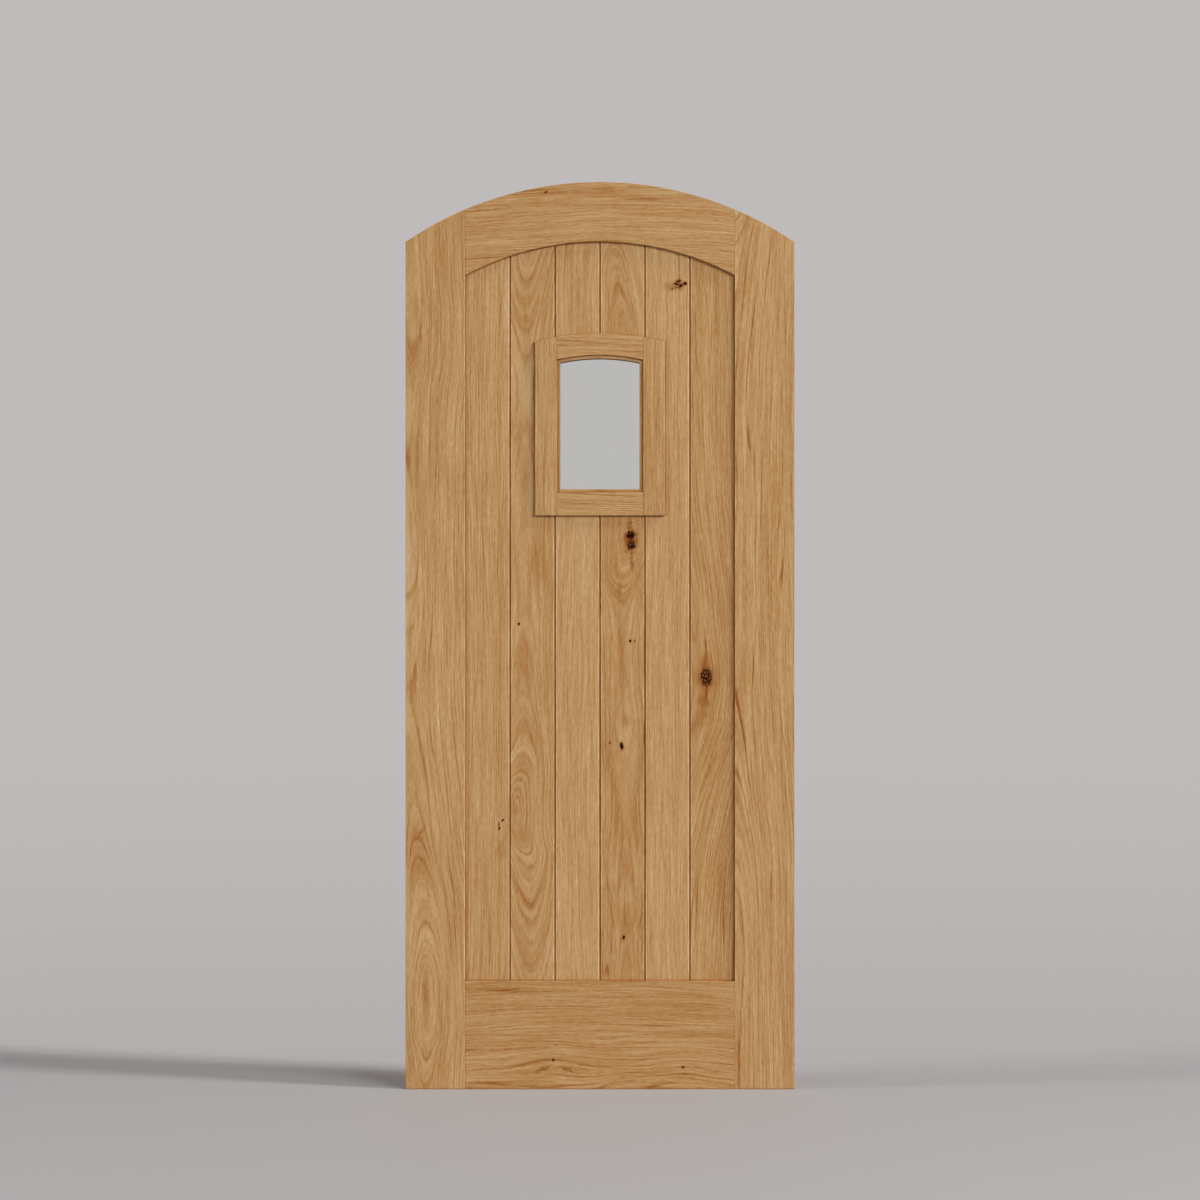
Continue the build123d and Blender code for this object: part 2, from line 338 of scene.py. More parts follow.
class OakBoard(Nodes):
    """The surface of one board in sanded oak.

    A tone goes from method to method, 0 in the brownest line and 1 in the palest wood. It becomes a colour
    at the end.
    """

    def __init__(self, oak: SandedOak, board: Board, bevel: float, worn: tuple[float, ...]) -> None:
        """Starts the material of a board.

        Args:
            oak: The finish.
            board: How the board lay in its log.
            bevel: How wide the bevels along its edges are, in millimetres.
            worn: Edges across it, in mm, with painted highlight and sanded wear past the bevel.
        """
        super().__init__(bpy.data.materials.new(f"sanded_oak_{board.node}"))
        low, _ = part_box(board.node)
        self.face = low[1] / MM
        self.oak = oak
        self.board = board
        self.bevel = bevel
        self.worn = worn
        self.place = self.grain_place()
        torn = [self.tear(knot, KNOT_STEP * number) for number, knot in enumerate(board.knots)]
        self.knots = list(zip(board.knots, torn))

    def build(self) -> bpy.types.Material:
        """Makes the material."""
        place = self.wander_off(self.sweep_aside(self.bow_round_knots(self.place)))
        tone = self.darken_marks(self.grain_tone(place, self.heart_distance(place)))
        hidden = self.hidden_corners()
        return self.finish(self.wear_and_dust(tone, hidden), hidden)

    def grain_place(self) -> Socket:
        """Gives the place in the board along, across and through the grain, in millimetres."""
        axes = self.add("SeparateXYZ", (self.add("TexCoord")["Object"],))
        turned = self.add("CombineXYZ", tuple(axes[name] for name in self.board.grain.value))[0]
        return self.add("VectorMath", {0: turned, "Scale": 1 / MM}, operation="SCALE")[0]

    def around(self, place: Socket, spot: Spot, grow: Point = (1.0, 1.0)) -> Socket:
        """Gives the place measured from a spot, in half lengths and half widths of it.

        Args:
            place: The place in the board.
            spot: The knot, stain or sweep.
            grow: How many times as long and as wide the spot is taken.

        Returns:
            A vector whose length is 1 at the spot's rim.
        """
        inputs = {
            "Vector": place,
            "Location": (spot.along, spot.across, 0.0),
            "Rotation": (0.0, 0.0, math.radians(spot.turn)),
            "Scale": (spot.length / 2 * grow[0], spot.width / 2 * grow[1], ALL_THROUGH),
        }
        return self.add("Mapping", inputs, vector_type="TEXTURE")[0]

    def fade(self, offset: Socket, span: Point = (0.0, 1.0)) -> Socket:
        """Gives 1 nearer to a spot's middle than the span and 0 farther out, smooth in between."""
        length = self.add("VectorMath", (offset,), operation="LENGTH")["Value"]
        return self.add("MapRange", (length, *span, 1.0, 0.0), interpolation_type="SMOOTHSTEP")[0]

    def noise(self, place: Socket, size: Size, detail: float, seed: float) -> Outputs:
        """Adds an even noise whose grains are as long, wide and thick as `size` says, in millimetres."""
        inputs = {"Vector": place, "Location": tuple(seed * side for side in size), "Scale": size}
        scaled = self.add("Mapping", inputs, vector_type="TEXTURE")[0]
        inputs = {"Vector": scaled, "Scale": 1.0, "Detail": detail, "Roughness": self.oak.noise_roughness}
        return self.add("TexNoise", inputs)

    def stir(self, place: Socket, size: Size, push: Size, seed: float) -> Socket:
        """Moves the place to and fro by a noise.

        Args:
            place: The place in the board.
            size: Length, width and thickness of the noise's grains.
            push: How far the noise moves the place from end to end, along each axis.
            seed: What sets this noise apart from others.

        Returns:
            The moved place.
        """
        colour = self.noise(place, size, 1.5, seed)["Color"]
        even = self.add("VectorMath", (colour, (NOISE_MIDDLE,) * 3), operation="SUBTRACT")[0]
        return self.add("VectorMath", (even, push, place), operation="MULTIPLY_ADD")[0]

    def tear(self, knot: Knot, seed: float) -> Socket:
        """Gives the place with a knot's outline torn uneven."""
        size = (self.oak.torn_grain * knot.length, self.oak.torn_grain * knot.width, self.oak.torn_thick)
        push = (2 * knot.ragged * knot.length, 2 * knot.ragged * knot.width, 0.0)
        return self.stir(self.place, size, push, self.board.seed + seed)

    def bow_round_knots(self, place: Socket) -> Socket:
        """Pushes the lines of the grain out round each knot, as the growing trunk did."""
        for knot in self.board.knots:
            if knot.bow == 0.0:
                continue
            broad = knot.reach / self.oak.bow_slender
            offset = self.around(place, knot, (knot.reach, broad))
            pull = (0.0, knot.bow * knot.width / 2 * broad, 0.0)
            sideways = self.add("VectorMath", (offset, pull), operation="MULTIPLY")[0]
            shift = self.add("VectorMath", {0: sideways, "Scale": self.fade(offset)}, operation="SCALE")[0]
            place = self.add("VectorMath", (place, shift), operation="SUBTRACT")[0]
        return place

    def sweep_aside(self, place: Socket) -> Socket:
        """Swings the lines of the grain to one side at each sweep."""
        for sweep in self.board.sweeps:
            inputs = {0: (0.0, -sweep.shift, 0.0), "Scale": self.fade(self.around(place, sweep))}
            push = self.add("VectorMath", inputs, operation="SCALE")[0]
            place = self.add("VectorMath", (place, push), operation="ADD")[0]
        return place

    def wander_off(self, place: Socket) -> Socket:
        """Lets the grain wander a few millimetres off its course, in long bends and in short ripples."""
        for bend in self.oak.bends:
            size = (bend.length, bend.width, bend.width)
            swing = 2 * bend.height * self.board.waves
            push = (0.0, swing, self.oak.bend_depth * swing)
            place = self.stir(place, size, push, self.board.seed + bend.seed)
        return place

    def curve(self, along: Socket, points: tuple[Point, ...]) -> Socket:
        """Gives a value that follows a smooth curve through points along the board."""
        first, last = points[0][0], points[-1][0]
        low = min(value for _, value in points)
        high = max(max(value for _, value in points), low + 1.0)
        share = self.add("MapRange", (along, first, last))[0]
        height = self.add("FloatCurve", {"Value": share})[0]
        mapping = height.node.mapping
        shape = mapping.curves[0]
        while len(shape.points) < len(points):
            shape.points.new(0.5, 0.5)
        for dot, (position, value) in zip(shape.points, points):
            dot.location = ((position - first) / (last - first), (value - low) / (high - low))
        mapping.update()
        return self.add("MapRange", (height, 0.0, 1.0, low, high))[0]

    def heart_distance(self, place: Socket) -> Socket:
        """Gives the distance from the log's heart, which is constant along a year ring."""
        along, across, through = self.add("SeparateXYZ", (place,))
        behind = self.curve(along, self.board.heart)
        beside = self.curve(along, self.board.beside)
        deep = self.add("Math", (through, self.face), operation="SUBTRACT")[0]
        deep = self.add("Math", (deep, behind), operation="SUBTRACT")[0]
        wide = self.add("Math", (across, beside), operation="SUBTRACT")[0]
        span = self.add("CombineXYZ", (deep, wide))[0]
        return self.add("VectorMath", (span,), operation="LENGTH")["Value"]

    def ring_lines(self, ringed: Socket) -> Socket:
        """Gives how dark the early wood is: sharp where a year starts and fading, uneven from year to year.

        Args:
            ringed: The place along the board, the distance from the heart, and the depth.

        Returns:
            From 0 in the late wood to 1 in the darkest early wood.
        """
        rings = self.oak.rings
        distance = self.add("SeparateXYZ", (ringed,))[1]
        count = self.add("Math", (distance, rings.width), operation="DIVIDE")[0]
        drift = self.noise(ringed, rings.uneven_size, 1.0, self.board.seed + RING_SEED)["Fac"]
        phase = self.add("Math", (drift, rings.uneven, count), operation="MULTIPLY_ADD")[0]
        share = self.add("Math", (phase,), operation="FRACT")[0]
        year = self.add("Math", (phase,), operation="FLOOR")[0]
        line = self.add("MapRange", (share, 0.0, rings.rise), interpolation_type="SMOOTHSTEP")[0]
        fall = self.add("MapRange", (share, *rings.fall, 1.0, 0.0), interpolation_type="SMOOTHSTEP")[0]
        chance = self.add("TexWhiteNoise", {"W": year}, noise_dimensions="1D")["Value"]
        strength = self.add("MapRange", (chance, 0.0, 1.0, rings.weakest))[0]
        gaps = self.noise(ringed, rings.gap_size, 2.0, self.board.seed + GAP_SEED)["Fac"]
        broken = self.add("MapRange", (gaps, *rings.gap, rings.left))[0]
        for factor in (fall, strength, broken):
            line = self.add("Math", (line, factor), operation="MULTIPLY")[0]
        return line

    def grain_tone(self, place: Socket, distance: Socket) -> Socket:
        """Gives the tone of the plain wood."""
        oak = self.oak
        along, _, through = self.add("SeparateXYZ", (place,))
        ringed = self.add("CombineXYZ", (along, distance, through))[0]
        total = oak.base + self.board.tone
        for number, layer in enumerate((oak.bands, oak.fibres, oak.pores, oak.patches)):
            seed = self.board.seed + LAYER_SEED + LAYER_STEP * number
            noise = self.noise(ringed if layer.ringed else place, layer.size(), layer.detail, seed)["Fac"]
            half = NOISE_SWING / layer.sharp
            inputs = (noise, NOISE_MIDDLE - half, NOISE_MIDDLE + half, -layer.share, layer.share)
            streak = self.add("MapRange", inputs)[0]
            total = self.add("Math", (streak, total), operation="ADD")[0]
        inputs = (self.ring_lines(ringed), -oak.rings.depth * self.board.figure, total)
        return self.add("Math", inputs, operation="MULTIPLY_ADD")[0]

    def darken(self, tone: Socket, near: Socket, depth: float) -> Socket:
        """Darkens the wood where `near` is above 0, by the share `depth` at most, and keeps its lines."""
        share = self.add("MapRange", (near, 0.0, 1.0, 1.0, 1.0 - depth))[0]
        return self.add("Math", (tone, share), operation="MULTIPLY")[0]

    def stained(self, stain: Stain) -> Socket:
        """Gives how strong a stain is, in streaks along the grain that fade out at its edge."""
        oak = self.oak
        drawn = self.stir(self.place, *stain.swirl(), stain.along)
        near = self.fade(self.around(drawn, stain), oak.stain_fade)
        streaks = self.noise(self.place, oak.stain_streak, 2.0, stain.along)["Fac"]
        inputs = (streaks, oak.stain_contrast, 1.0 - NOISE_MIDDLE * oak.stain_contrast)
        streaks = self.add("Math", inputs, operation="MULTIPLY_ADD")[0]
        return self.add("Math", (near, streaks), operation="MULTIPLY")[0]

    def knot_rings(self, tone: Socket, knot: Knot, torn: Socket) -> Socket:
        """Draws the year lines of the branch itself round its core."""
        offset = self.around(torn, knot)
        length = self.add("VectorMath", (offset,), operation="LENGTH")["Value"]
        angle = self.add("Math", (length, math.tau * knot.rings), operation="MULTIPLY")[0]
        wave = self.add("Math", (angle,), operation="SINE")[0]
        rim = self.fade(offset, self.oak.knot_ring_fade)
        year = self.add("Math", (wave, rim), operation="MULTIPLY")[0]
        inputs = (year, -self.oak.knot_ring_depth, tone)
        return self.add("Math", inputs, operation="MULTIPLY_ADD")[0]

    def darken_marks(self, tone: Socket) -> Socket:
        """Darkens the stains, and the halo and year lines of each knot."""
        for stain in self.board.stains:
            tone = self.darken(tone, self.stained(stain), stain.depth)
        for knot, torn in self.knots:
            near = self.fade(self.around(torn, knot, knot.spread), self.oak.halo_fade)
            tone = self.darken(tone, near, knot.halo)
            if knot.rings:
                tone = self.knot_rings(tone, knot, torn)
        return tone

    def hidden_corners(self) -> Socket:
        """Gives how closed in a place is, from 0 on an open face to 1 deep in a joint."""
        # Its result sets where shade and bounce light are painted.
        inputs = {"Distance": self.oak.corner_reach * MM}
        open_sky = self.add("AmbientOcclusion", inputs, samples=self.oak.corner_samples)["AO"]
        return self.add("Math", (1.0, open_sky), operation="SUBTRACT")[0]

    def wear_and_dust(self, tone: Socket, hidden: Socket) -> Socket:
        """Paints highlight and sanded wear beside each edge, and shade in its bevel and in closed-in
        corners.

        Args:
            tone: How light the wood is.
            hidden: How closed in the place is.

        Returns:
            The new tone.
        """
        oak = self.oak
        across = self.add("SeparateXYZ", (self.place,))[1]
        worn = (self.bevel + 0.5 * oak.worn_width, self.bevel + 1.5 * oak.worn_width)
        for edge in self.worn:
            # A band past each bevel is lighter, as painted highlight and sanded wear; the bevel gets painted
            # shade.
            off = self.add("Math", (across, edge), operation="SUBTRACT")[0]
            off = self.add("Math", (off,), operation="ABSOLUTE")[0]
            inputs = (off, *worn, oak.worn_depth + oak.joint_depth, oak.joint_depth)
            lighter = self.add("MapRange", inputs)[0]
            face = self.add("MapRange", (off, oak.joint_share * self.bevel, self.bevel))[0]
            inputs = (lighter, face, -oak.joint_depth)
            change = self.add("Math", inputs, operation="MULTIPLY_ADD")[0]
            tone = self.add("Math", (tone, change), operation="ADD")[0]
        # Closed-in corners and joints are darkened: painted shade.
        return self.add("Math", (hidden, -oak.corner_depth, tone), operation="MULTIPLY_ADD")[0]

    def cracks(self, knot: Knot, torn: Socket) -> Socket:
        """Gives the black of a crazed knot: all in its cracks, and little in the cells between them."""
        crazing = self.oak.crazing
        rough = self.stir(torn, crazing.rough_size, crazing.rough_push, knot.along)
        cell = (knot.length / crazing.cells[0], knot.width / crazing.cells[1], crazing.thick)
        cells = self.add("Mapping", {"Vector": rough, "Scale": cell}, vector_type="TEXTURE")[0]
        flat = {"voronoi_dimensions": "2D", "feature": "DISTANCE_TO_EDGE"}
        seams = self.add("TexVoronoi", {"Vector": cells, "Scale": 1.0}, **flat)[0]
        return self.add("MapRange", (seams, *crazing.edge, 1.0, crazing.left))[0]

    def knot_cores(self) -> Socket | float:
        """Gives where the knots are black, from 0 to 1."""
        total = 0.0
        for knot, torn in self.knots:
            if knot.black == 0.0:
                continue
            core = self.fade(self.around(torn, knot), self.oak.core_fade)
            if knot.crazed:
                core = self.add("Math", (core, self.cracks(knot, torn)), operation="MULTIPLY")[0]
            core = self.add("Math", (core, knot.black), operation="MULTIPLY")[0]
            total = self.add("Math", (core, total), operation="MAXIMUM")[0]
        return total

    def wood_colour(self, tone: Socket) -> Socket:
        """Gives the colour of a tone, from the brownest line to sanded wood."""
        oak = self.oak
        colour = self.add("ValToRGB", {"Fac": tone})["Color"]
        elements = colour.node.color_ramp.elements
        while len(elements) < len(oak.stops):
            elements.new(0.5)
        shades = (oak.brown, oak.deep, oak.line, oak.ground, oak.light, oak.sanded)
        for element, position, shade in zip(elements, oak.stops, shades):
            element.position = position
            element.color = linear(shade)
        return colour

    def finish(self, tone: Socket, hidden: Socket) -> bpy.types.Material:
        """Colours the wood and puts it under a matte oil.

        End grain drinks more oil, so it is browner. Joints and corners get painted red-brown bounce light.

        Args:
            tone: How light the wood is.
            hidden: How closed in the place is.

        Returns:
            The finished material.
        """
        oak = self.oak
        axes = self.add("SeparateXYZ", (self.add("TexCoord")["Normal"],))
        facing = self.add("Math", (axes[self.board.grain.value[0]],), operation="ABSOLUTE")[0]
        ends = self.add("MapRange", (facing, *oak.end_facing, 0.0, oak.end_grain))[0]
        # Painted bounce light: closed-in places are tinted red-brown.
        painted_bounce = self.add("MapRange", (hidden, 0.0, oak.corner_full, 0.0, oak.corner_tint))[0]
        cores = self.knot_cores()
        colour = self.wood_colour(tone)
        for share, tint in ((ends, oak.brown), (painted_bounce, oak.corner), (cores, oak.black)):
            inputs = {"Factor": share, "A": colour, "B": linear(tint)}
            colour = self.add("Mix", inputs, data_type="RGBA")["Result"]
        rough = self.add("MapRange", (tone, 0.0, 1.0, *oak.roughness))[0]
        rough = self.add("Math", (cores, oak.knot_roughness, rough), operation="MULTIPLY_ADD")[0]
        pores = self.noise(self.place, oak.pores.size(), 2.0, self.board.seed)["Fac"]
        inputs = {"Height": pores, "Strength": oak.bump_strength, "Distance": oak.bump_height * MM}
        surface = {"Base Color": colour, "Roughness": rough, "Normal": self.add("Bump", inputs)[0]}
        return self.close(surface | {"IOR": oak.ior, "Specular IOR Level": oak.specular})


def put_on(node: str, material: bpy.types.Material) -> None:
    """Gives every material slot of a CAD node the same material."""
    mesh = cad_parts[node].data
    if not mesh.materials:
        mesh.materials.append(material)
    for index in range(len(mesh.materials)):
        mesh.materials[index] = material
    log.info("dressed %s", node)


@dataclass
class Joinery:
    """A sub-assembly of oak boards, each in a field that is named for its CAD node.

    `bevel` is the width of the bevels along the boards' edges, in millimetres.
    """

    oak: SandedOak = SandedOak()
    bevel: float = 0.8

    def boards(self) -> tuple[Board, ...]:
        """Gives the boards, each with its node."""
        boards = ((name, value) for name, value in vars(self).items() if isinstance(value, Board))
        return tuple(replace(board, node=name) for name, board in boards)

    def worn(self, node: str) -> tuple[float, ...]:
        """Gives the places across a board, in mm, of edges with painted highlight and sanded wear."""
        return ()

    def dress(self) -> None:
        """Gives each board its own piece of oak."""
        for board in self.boards():
            put_on(board.node, OakBoard(self.oak, board, self.bevel, self.worn(board.node)).build())


@dataclass
class LeafFrame(Joinery):
    """The stiles and rails round the planks, with the tenons in their joints."""

    left_stile: Board = Board(
        heart=(
            (0, 42), (91, 33), (182, 22), (241, 24), (331, 35), (391, 42), (463, 48), (526, 53), (700, 60),
            (900, 63), (1200, 61), (1500, 62), (1700, 61), (1900, 60), (2069, 61),
        ),
        beside=(
            (0, -409), (182, -408), (391, -410), (526, -424), (700, -440), (1000, -458), (1200, -462),
            (1500, -462), (1640, -454), (1776, -440), (1900, -446), (2069, -452),
        ),
        tone=0.02,
        seed=1.0,
        stains=(
            Stain(1774, -422, 60, 8, depth=0.35),
            Stain(1828, -431, 130, 12, depth=0.16),
            Stain(1652, -440, 60, 10, depth=0.2),
            Stain(1056, -447, 110, 12, depth=0.2),
            Stain(697, -433, 30, 6, depth=0.35),
            Stain(606, -420, 40, 10, 35, depth=0.4),
            Stain(461, -404, 46, 6, -12, depth=0.35),
            Stain(250, -416, 170, 16, depth=0.12),
        ),
    )
    right_stile: Board = Board(
        heart=(
            (0, 34), (300, 36), (499, 43.5), (673, 60), (800, 66), (1050, 70), (1400, 68), (1700, 66),
            (1891, 62), (1970, 59), (2050, 49), (2069, 46),
        ),
        beside=((0, 316), (500, 316), (1050, 308), (1500, 304), (1835, 312), (2069, 316)),
        figure=1.3,
        waves=0.6,
        seed=2.0,
        stains=(Stain(150, 332, 90, 9, depth=0.3), Stain(1168, 324, 120, 8, depth=0.15)),
    )
    top_rail: Board = Board(
        heart=((-330, 62), (0, 58), (330, 64)),
        beside=((-330, 2128), (-100, 2142), (60, 2150), (330, 2130)),
        grain=Grain.ACROSS,
        tone=-0.02,
        seed=3.0,
        knots=(
            Knot(-127, 2110, 8, 4, 20, halo=0.4),
            Knot(14, 2121, 20, 10, black=0.0, halo=0.22, rings=1.5, bow=0.8),
        ),
        stains=(Stain(-89, 2082, 60, 10, -8, depth=0.2), Stain(80, 2121, 40, 6, depth=0.2)),
        sweeps=(Sweep(14, 2106, 180, 50, shift=-6),),
    )
    bottom_rail: Board = Board(
        heart=((-330, 58), (-60, 64), (80, 56), (330, 62)),
        beside=((-330, -36), (0, -24), (330, -34)),
        grain=Grain.ACROSS,
        tone=-0.05,
        figure=1.15,
        waves=1.1,
        seed=4.0,
        knots=(
            Knot(-110, 68.5, 6.5, 6.5, halo=0.25, ragged=0.08),
            Knot(195, 52, 6.5, 6, halo=0.25, ragged=0.08),
            Knot(-104, 104.6, 4.5, 4, black=0.5, halo=0.2, ragged=0.08),
        ),
        stains=(
            Stain(-134, 47, 50, 11, 26, depth=0.6),
            Stain(-76, 46, 44, 10, -24, depth=0.5),
            Stain(-176, 39, 80, 5, 4, depth=0.3),
            Stain(150, 40, 110, 5, 3, depth=0.2),
            Stain(232, 52, 40, 6, -14, depth=0.3),
            Stain(270, 41, 60, 6, depth=0.25),
            Stain(20, 52, 130, 5, -6, depth=0.24),
        ),
        sweeps=(Sweep(-110, 76, 300, 150, shift=15), Sweep(195, 62, 230, 120, shift=11)),
    )
    top_rail_tenons: Board = Board(
        ((-330, 60), (330, 60)), ((-330, 1990), (330, 1990)), Grain.ACROSS, seed=25.0
    )
    bottom_rail_tenons: Board = Board(
        ((-330, 60), (330, 60)), ((-330, -60), (330, -60)), Grain.ACROSS, seed=26.0
    )

    def worn(self, node: str) -> tuple[float, ...]:
        """Gives the inner edge of a stile, beside the planks."""
        left_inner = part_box("left_stile")[1][0] / MM
        right_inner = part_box("right_stile")[0][0] / MM
        return {"left_stile": (left_inner,), "right_stile": (right_inner,)}.get(node, ())


@dataclass
class PlankPanel(Joinery):
    """The tongued planks between the stiles and rails."""

    bevel: float = 2.8
    planks: int = 6
    plank_1: Board = Board(
        heart=((240, 62), (1100, 60), (2000, 62)),
        beside=((240, -410), (900, -400), (1500, -404), (2000, -396)),
        tone=0.05,
        figure=1.15,
        waves=0.6,
        seed=5.0,
        knots=(
            Knot(632, -229, 11, 4, 48, halo=0.2, spread=(1.6, 2.2), ragged=0.12),
            Knot(623, -238, 12, 3.5, 4, black=0.8, halo=0.2, spread=(1.6, 2.2), ragged=0.12),
            Knot(613, -237, 7, 5, black=0.95, halo=0.2, ragged=0.12),
        ),
        stains=(Stain(1100, -236, 2600, 12, depth=0.14), Stain(565, -234, 70, 22, depth=0.24)),
    )
    plank_2: Board = Board(
        heart=(
            (240, 84), (380, 64), (484, 49), (527, 41), (558, 33), (608, 18), (650, 10), (700, 15),
            (760, 32), (850, 50), (960, 58), (1250, 60), (1433, 62), (1600, 66), (1750, 63), (1835, 56),
            (1920, 46), (2000, 33),
        ),
        beside=(
            (240, -164), (484, -167), (558, -174), (650, -194), (760, -186), (900, -180), (1433, -176),
            (1835, -176), (2000, -158),
        ),
        tone=-0.01,
        figure=0.66,
        waves=1.5,
        seed=6.0,
        knots=(Knot(1094, -191, 7, 6.5, halo=0.15, bow=0.6, reach=5.0, ragged=0.1),),
        stains=(
            Stain(652, -200, 48, 17, depth=0.3),
            Stain(928, -182, 24, 7, depth=0.35),
            Stain(431, -161, 34, 7, 14, depth=0.35),
            Stain(1240, -152, 130, 18, depth=0.2),
            Stain(1822, -176, 50, 8, depth=0.3),
        ),
        sweeps=(Sweep(1240, -160, 330, 90, shift=-7),),
    )
    plank_3_upper: Board = Board(
        heart=((1740, 60), (1860, 64), (2000, 62)),
        beside=((1740, -236), (1860, -240), (2000, -232)),
        tone=0.01,
        figure=0.65,
        waves=0.5,
        seed=7.0,
    )
    plank_3_lower: Board = Board(
        heart=((240, 62), (700, 64), (1278, 58), (1360, 62)),
        beside=((240, -232), (800, -240), (1360, -226)),
        tone=0.05,
        figure=0.8,
        waves=0.4,
        seed=8.0,
    )
    plank_4_upper: Board = Board(
        heart=((1740, 18), (1804, 25), (1880, 34), (1958, 44), (2000, 52)),
        beside=((1740, 54), (1804, 52), (1958, 37), (2000, 36)),
        tone=0.01,
        figure=0.5,
        waves=0.7,
        seed=9.0,
        stains=(Stain(1910, 44, 26, 12, depth=0.2),),
    )
    plank_4_lower: Board = Board(
        heart=(
            (240, 50), (400, 54), (553, 57), (700, 60), (870, 58), (1000, 60), (1120, 57), (1168, 50),
            (1212, 37), (1253, 26), (1293, 20), (1360, 22),
        ),
        beside=((240, 62), (553, 62), (870, 58), (1000, 52), (1168, 50), (1293, 66), (1360, 66)),
        tone=-0.045,
        figure=0.9,
        seed=10.0,
        knots=(
            Knot(1292, 73, 52, 36, black=0.0, halo=0.64, spread=(1.05, 1.15), rings=2.6, bow=0.8, reach=2.6),
            Knot(1302, 75, 21, 11, 16, halo=0.5, spread=(1.5, 1.6), ragged=0.3),
            Knot(1302, 71, 11, 23, -14, halo=0.5, spread=(1.6, 1.5), ragged=0.3),
            Knot(1310, 68, 8, 7, halo=0.3, ragged=0.3),
            Knot(1282, 73, 23, 21, black=0.8, halo=0.7, spread=(1.5, 1.5), ragged=0.3, crazed=True),
            Knot(1276, 76, 9, 14, black=0.95, halo=0.3, ragged=0.3),
            Knot(1054, 71, 7, 6.5, halo=0.2, bow=0.5, reach=4.0, ragged=0.1),
            Knot(1054, 82, 5, 4, black=0.8, halo=0.2, ragged=0.1),
            Knot(807, 51, 19, 9.5, -8, halo=0.35, spread=(1.7, 1.7), bow=0.8, reach=4.0, ragged=0.1),
            Knot(814, 23, 5.5, 5, black=0.8, halo=0.3, ragged=0.1),
            Knot(356, 56, 11, 7, 12, black=0.95, halo=0.3, bow=0.6, reach=4.0, ragged=0.15),
        ),
        stains=(
            Stain(1330, 71, 44, 16, depth=0.5),
            Stain(1252, 75, 60, 7, depth=0.5),
            Stain(1232, 75, 30, 14, depth=0.42),
            Stain(1175, 46, 46, 13, depth=0.3),
            Stain(1090, 46, 110, 8, depth=0.22),
            Stain(960, 52, 230, 18, depth=0.24),
            Stain(866, 61, 36, 22, depth=0.34),
            Stain(600, 52, 190, 6, depth=0.24),
            Stain(420, 58, 160, 5, depth=0.26),
        ),
    )
    plank_5: Board = Board(
        heart=((240, 66), (1100, 62), (2000, 68)),
        beside=((240, 310), (900, 300), (1500, 312), (2000, 300)),
        tone=0.05,
        figure=0.75,
        waves=0.5,
        seed=11.0,
        knots=(
            Knot(1892, 186, 30, 36, black=0.0, halo=0.3, spread=(1.1, 1.1), bow=0.4, reach=2.0),
            Knot(1901.7, 185.1, 12.6, 4.8, 75, halo=0.5, spread=(1.7, 2.6), ragged=0.15),
            Knot(1894.8, 180, 13, 4.2, 100, halo=0.5, spread=(1.7, 2.6), ragged=0.15),
            Knot(1890.8, 190, 11, 6, 55, halo=0.5, spread=(1.7, 2.6), ragged=0.15),
            Knot(1896.2, 200.4, 10, 7.5, 70, black=0.95, halo=0.5, spread=(1.7, 2.0), ragged=0.15),
            Knot(1886.3, 179.7, 8, 3.6, 75, black=0.6, halo=0.2, ragged=0.15),
            Knot(1882.7, 170, 6, 4.5, black=0.8, halo=0.2, ragged=0.15),
        ),
        stains=(
            Stain(1889, 168, 26, 34, depth=0.34),
            Stain(1912, 187, 22, 12, depth=0.34),
            Stain(998, 205, 24, 4, depth=0.35),
        ),
    )
    plank_6: Board = Board(
        heart=((240, 46), (600, 42), (970, 44), (1500, 42), (2000, 48)),
        beside=(
            (240, 80), (500, 92), (620, 112), (720, 138), (820, 172), (900, 194), (980, 200), (1080, 192),
            (1170, 184), (1300, 166), (1455, 152), (1700, 146), (2000, 150),
        ),
        tone=-0.02,
        figure=1.3,
        seed=12.0,
        knots=(
            Knot(
                969, 250, 48, 31, halo=0.3, spread=(1.7, 2.2), bow=0.75, reach=3.6, ragged=0.12, crazed=True
            ),
            Knot(969, 250, 60, 42, black=0.0, halo=0.5, spread=(1.0, 1.0), ragged=0.12),
        ),
        stains=(
            Stain(1008, 250, 46, 36, depth=0.46),
            Stain(1036, 249, 90, 8, depth=0.5),
            Stain(936, 250, 56, 10, depth=0.65),
            Stain(912, 244, 44, 34, -24, depth=0.42),
            Stain(866, 232, 100, 34, 28, depth=0.3),
            Stain(445, 228, 150, 9, depth=0.32),
        ),
    )

    def worn(self, node: str) -> tuple[float, ...]:
        """Gives the V joints beside a plank. Together they part the space between the stiles evenly."""
        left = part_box("left_stile")[1][0] / MM
        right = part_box("right_stile")[0][0] / MM
        joints = [left + (right - left) * count / self.planks for count in range(1, self.planks)]
        number = int(node.split("_")[1])
        return tuple(joints[max(number - 2, 0):number])


